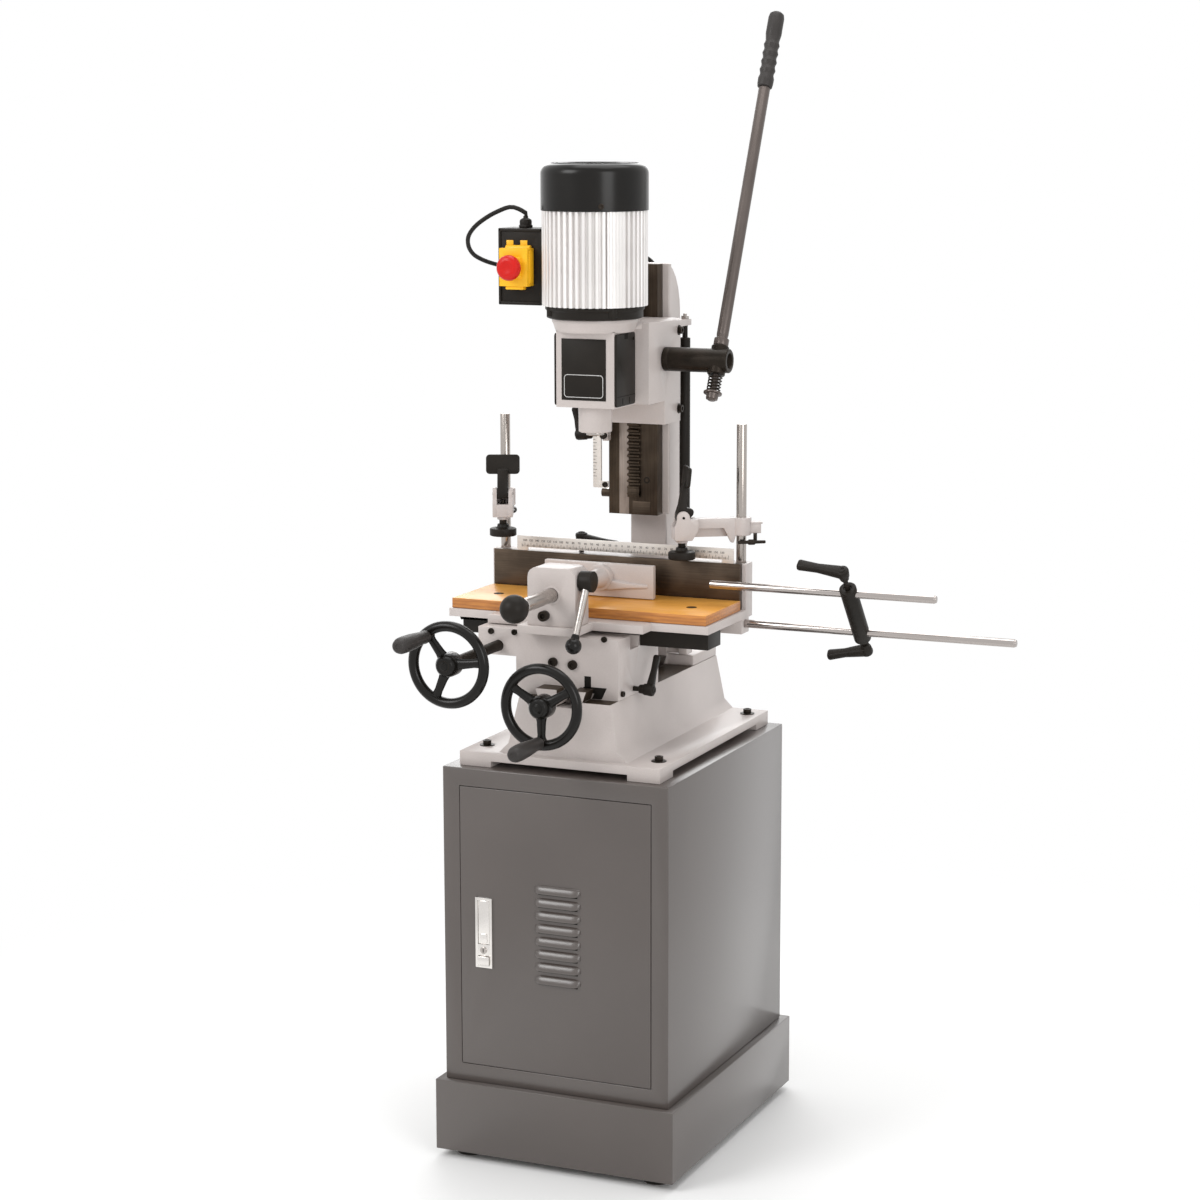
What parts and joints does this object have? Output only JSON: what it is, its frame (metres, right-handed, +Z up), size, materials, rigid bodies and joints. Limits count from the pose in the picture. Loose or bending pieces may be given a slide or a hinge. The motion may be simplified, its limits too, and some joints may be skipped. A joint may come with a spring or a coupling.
{
  "type": "floor-standing mortiser",
  "caption": "Square-chisel mortiser on a steel cabinet: feed lever on a rack, cross-slide table with wooden top, fence, work clamp and hold-downs.",
  "frame": {"origin": "centre of the machine's outline box, without its cord, at floor level", "axes": "+Z up, +X to the operator's right, the operator stands at -Y"},
  "size_m": [0.824, 0.7636, 1.6729],
  "materials": {
    "grey_paint": "semi-gloss warm light grey paint on castings",
    "cabinet_paint": "satin warm dark grey paint on sheet steel",
    "ground_steel": "dark ground steel, oiled",
    "black_plastic": "black plastic, low gloss",
    "grip_grey": "dark grey moulded plastic",
    "chrome": "bright plated steel",
    "steel": "machined steel",
    "aluminium": "cast aluminium",
    "yellow": "yellow plastic",
    "red": "red plastic",
    "wood": "laminated beech, clear lacquer",
    "rubber": "black rubber"
  },
  "bodies": {
    "stand": {"plinth": "cabinet_paint", "cabinet_shell": "cabinet_paint", "base_casting": "grey_paint", "column_casting": "grey_paint", "column_way": "ground_steel", "gas_spring_rod": "chrome", "mains_cord": "rubber", "cord_coil": "rubber", "plug": "rubber"},
    "cabinet_door": {"cabinet_door": "cabinet_paint"},
    "latch_handle": {"latch_handle": "chrome"},
    "latch_button": {"latch_button": "chrome"},
    "head": {"headstock": "grey_paint", "motor_flange": "black_plastic", "motor_housing": "aluminium", "fan_cover": "black_plastic", "switch_box": "black_plastic", "cable_gland": "black_plastic", "gas_spring_tube": "black_plastic"},
    "feed_pinion": {"feed_pinion": "steel"},
    "lever_hub": {"lever_hub": "black_plastic", "lever_spring": "steel"},
    "lever_rod": {"lever_rod": "chrome", "lever_grip": "grip_grey"},
    "spindle": {"spindle": "steel"},
    "chuck_door_right": {"chuck_door_right": "black_plastic"},
    "chuck_door_left": {"chuck_door_left": "black_plastic"},
    "switch_lid": {"switch_lid": "yellow"},
    "stop_button": {"stop_button": "red"},
    "depth_scale": {"depth_scale": "steel"},
    "depth_lock_lever": {"depth_lock_lever": "black_plastic"},
    "saddle": {"saddle": "grey_paint"},
    "saddle_lock_lever": {"saddle_lock_lever": "black_plastic"},
    "cross_drive": {"cross_screw": "steel", "cross_handwheel": "black_plastic"},
    "cross_grip": {"cross_grip": "grip_grey"},
    "traverse_drive": {"traverse_pinion": "steel", "traverse_handwheel": "black_plastic"},
    "traverse_grip": {"traverse_grip": "grip_grey"},
    "table": {"table_casting": "grey_paint", "table_top": "wood", "fence_plate": "ground_steel", "ruler": "steel", "clamp_block": "grey_paint"},
    "clamp_bar": {"clamp_bar": "grey_paint"},
    "clamp_lever": {"clamp_lever": "chrome"},
    "post_right": {"post_right": "chrome"},
    "post_left": {"post_left": "chrome"},
    "hold_arm_right": {"hold_arm_right": "grey_paint"},
    "hold_arm_left": {"hold_arm_left": "grey_paint"},
    "cam_lever_right": {"cam_lever_right": "black_plastic"},
    "cam_lever_left": {"cam_lever_left": "black_plastic"},
    "hold_pad_right": {"hold_pad_right": "rubber"},
    "hold_pad_left": {"hold_pad_left": "rubber"},
    "lower_stop_rod": {"lower_stop_rod": "chrome"},
    "rod_connector": {"rod_connector": "black_plastic"},
    "upper_stop_rod": {"upper_stop_rod": "chrome"},
    "connector_lever_upper": {"connector_lever_upper": "black_plastic"},
    "connector_lever_lower": {"connector_lever_lower": "black_plastic"},
    "fence_lock_lever": {"fence_lock_lever": "black_plastic"}
  },
  "joints": [
    {"name": "door_hinge", "type": "hinge", "parent": "stand", "child": "cabinet_door", "pos_m": [-0.0375, -0.14958, 0.1462], "axis": [0, 0, 1], "range_deg": [0, 110]},
    {"name": "latch_handle_pull", "type": "hinge", "parent": "cabinet_door", "child": "latch_handle", "pos_m": [-0.3125, -0.15258, 0.3969], "axis": [-1, 0, 0], "range_deg": [0, 35], "stiffness_Nm_per_rad": 0.05, "springref_deg": -11.46},
    {"name": "latch_button_press", "type": "slide", "parent": "cabinet_door", "child": "latch_button", "axis": [0, 1, 0], "range_m": [0, 0.003], "stiffness_N_per_m": 300, "springref_m": -0.002},
    {"name": "head_travel", "type": "slide", "parent": "stand", "child": "head", "axis": [0, 0, -1], "range_m": [0, 0.1], "stiffness_N_per_m": 500, "springref_m": -1.2},
    {"name": "pinion_turn", "type": "hinge", "parent": "head", "child": "feed_pinion", "pos_m": [-0.1875, 0.10342, 1.1688], "axis": [1, 0, 0], "range_deg": [0, 137]},
    {"name": "lever_index", "type": "hinge", "parent": "feed_pinion", "child": "lever_hub", "pos_m": [-0.0375, 0.10342, 1.1688], "axis": [1, 0, 0], "range_deg": [-60, 0]},
    {"name": "lever_pull", "type": "slide", "parent": "lever_hub", "child": "lever_rod", "axis": [0, 0.4258, 0.9048], "range_m": [0, 0.01], "stiffness_N_per_m": 2500, "springref_m": -0.01, "deforming": ["lever_spring"]},
    {"name": "spindle_spin", "type": "hinge", "parent": "head", "child": "spindle", "pos_m": [-0.1875, 0.00142, 1.2484], "axis": [0, 0, 1], "continuous": true},
    {"name": "chuck_door_right_swing", "type": "hinge", "parent": "head", "child": "chuck_door_right", "pos_m": [-0.1399, -0.03458, 1.1043], "axis": [0, 1, 0], "range_deg": [0, 105]},
    {"name": "chuck_door_left_swing", "type": "hinge", "parent": "head", "child": "chuck_door_left", "pos_m": [-0.2351, -0.03458, 1.1043], "axis": [0, -1, 0], "range_deg": [0, 105]},
    {"name": "switch_lid_lift", "type": "hinge", "parent": "head", "child": "switch_lid", "pos_m": [-0.2915, -0.03388, 1.3334], "axis": [-1, 0, 0], "range_deg": [0, 100]},
    {"name": "stop_button_press", "type": "slide", "parent": "switch_lid", "child": "stop_button", "axis": [0, 1, 0], "range_m": [0, 0.004], "stiffness_N_per_m": 400, "springref_m": -0.002},
    {"name": "depth_scale_slide", "type": "slide", "parent": "head", "child": "depth_scale", "axis": [0, 0, 1], "range_m": [0, 0.09]},
    {"name": "depth_lock_turn", "type": "hinge", "parent": "head", "child": "depth_lock_lever", "pos_m": [-0.2485, 0.13842, 1.0493], "axis": [-1, 0, 0], "range_deg": [-30, 40]},
    {"name": "saddle_travel", "type": "slide", "parent": "stand", "child": "saddle", "axis": [0, 1, 0], "range_m": [-0.1, 0]},
    {"name": "cross_wheel_turn", "type": "hinge", "parent": "saddle", "child": "cross_drive", "pos_m": [-0.1875, -0.18958, 0.7003], "axis": [0, -1, 0], "range_deg": [-7201, 0]},
    {"name": "cross_grip_spin", "type": "hinge", "parent": "cross_drive", "child": "cross_grip", "pos_m": [-0.1875, -0.19908, 0.6503], "axis": [0, 1, 0], "continuous": true},
    {"name": "saddle_lock_turn", "type": "hinge", "parent": "saddle", "child": "saddle_lock_lever", "pos_m": [-0.1155, -0.02658, 0.7023], "axis": [1, 0, 0], "range_deg": [-30, 30]},
    {"name": "table_travel", "type": "slide", "parent": "saddle", "child": "table", "axis": [1, 0, 0], "range_m": [-0.075, 0.075]},
    {"name": "traverse_wheel_turn", "type": "hinge", "parent": "saddle", "child": "traverse_drive", "pos_m": [-0.3055, -0.24358, 0.7616], "axis": [0, 1, 0], "range_deg": [-180, 180]},
    {"name": "traverse_grip_spin", "type": "hinge", "parent": "traverse_drive", "child": "traverse_grip", "pos_m": [-0.33559, -0.25308, 0.80153], "axis": [0, 1, 0], "continuous": true},
    {"name": "clamp_bar_slide", "type": "slide", "parent": "table", "child": "clamp_bar", "axis": [0, 1, 0], "range_m": [-0.08, 0.036]},
    {"name": "clamp_lever_swing", "type": "hinge", "parent": "table", "child": "clamp_lever", "pos_m": [-0.15885, -0.09258, 0.8664], "axis": [-1, 0, 0], "range_deg": [0, 110]},
    {"name": "post_right_swivel", "type": "hinge", "parent": "table", "child": "post_right", "pos_m": [-0.0135, 0.13842, 0.8694], "axis": [0, 0, 1], "range_deg": [0, 60]},
    {"name": "hold_arm_right_slide", "type": "slide", "parent": "post_right", "child": "hold_arm_right", "axis": [0, 0, 1], "range_m": [-0.008, 0.12]},
    {"name": "cam_lever_right_swing", "type": "hinge", "parent": "hold_arm_right", "child": "cam_lever_right", "pos_m": [-0.08848, 0.09047, 0.9401], "axis": [0.5388, -0.8425, 0], "range_deg": [0, 90]},
    {"name": "hold_pad_right_press", "type": "slide", "parent": "hold_arm_right", "child": "hold_pad_right", "axis": [0, 0, -1], "range_m": [0, 0.0065]},
    {"name": "post_left_swivel", "type": "hinge", "parent": "table", "child": "post_left", "pos_m": [-0.3975, 0.13842, 0.8694], "axis": [0, 0, -1], "range_deg": [-30, 58]},
    {"name": "hold_arm_left_slide", "type": "slide", "parent": "post_left", "child": "hold_arm_left", "axis": [0, 0, 1], "range_m": [-0.03, 0.05]},
    {"name": "cam_lever_left_swing", "type": "hinge", "parent": "hold_arm_left", "child": "cam_lever_left", "pos_m": [-0.3634, 0.05729, 0.9641], "axis": [0.9219, 0.3875, 0], "range_deg": [0, 90]},
    {"name": "hold_pad_left_press", "type": "slide", "parent": "hold_arm_left", "child": "hold_pad_left", "axis": [0, 0, -1], "range_m": [0, 0.0065]},
    {"name": "lower_rod_slide", "type": "slide", "parent": "table", "child": "lower_stop_rod", "axis": [1, 0, 0], "range_m": [-0.04, 0.01]},
    {"name": "connector_swing", "type": "hinge", "parent": "lower_stop_rod", "child": "rod_connector", "pos_m": [0.1795, 0.12042, 0.7814], "axis": [1, 0, 0], "range_deg": [-8, 15]},
    {"name": "upper_rod_slide", "type": "slide", "parent": "rod_connector", "child": "upper_stop_rod", "axis": [1, 0, 0], "range_m": [-0.04, 0.1]},
    {"name": "connector_lever_upper_turn", "type": "hinge", "parent": "rod_connector", "child": "connector_lever_upper", "pos_m": [0.1795, 0.05774, 0.85557], "axis": [0, -0.6455, 0.7638], "range_deg": [-50, 50]},
    {"name": "connector_lever_lower_turn", "type": "hinge", "parent": "rod_connector", "child": "connector_lever_lower", "pos_m": [0.1795, 0.12816, 0.77223], "axis": [0, 0.6455, -0.7638], "range_deg": [-50, 50]},
    {"name": "fence_lock_turn", "type": "hinge", "parent": "table", "child": "fence_lock_lever", "pos_m": [-0.2725, 0.14042, 0.8694], "axis": [0, 0, 1], "range_deg": [-10, 40]}
  ],
  "couplings": [
    {"joint": "pinion_turn", "follows": "head_travel", "rad_per_m": 23.81},
    {"joint": "cross_wheel_turn", "follows": "saddle_travel", "rad_per_m": 1256.6},
    {"joint": "traverse_wheel_turn", "follows": "table_travel", "rad_per_m": 41.667},
    {"joint": "hold_pad_right_press", "follows": "cam_lever_right_swing", "m_per_rad": 0.004},
    {"joint": "hold_pad_left_press", "follows": "cam_lever_left_swing", "m_per_rad": 0.004}
  ]
}
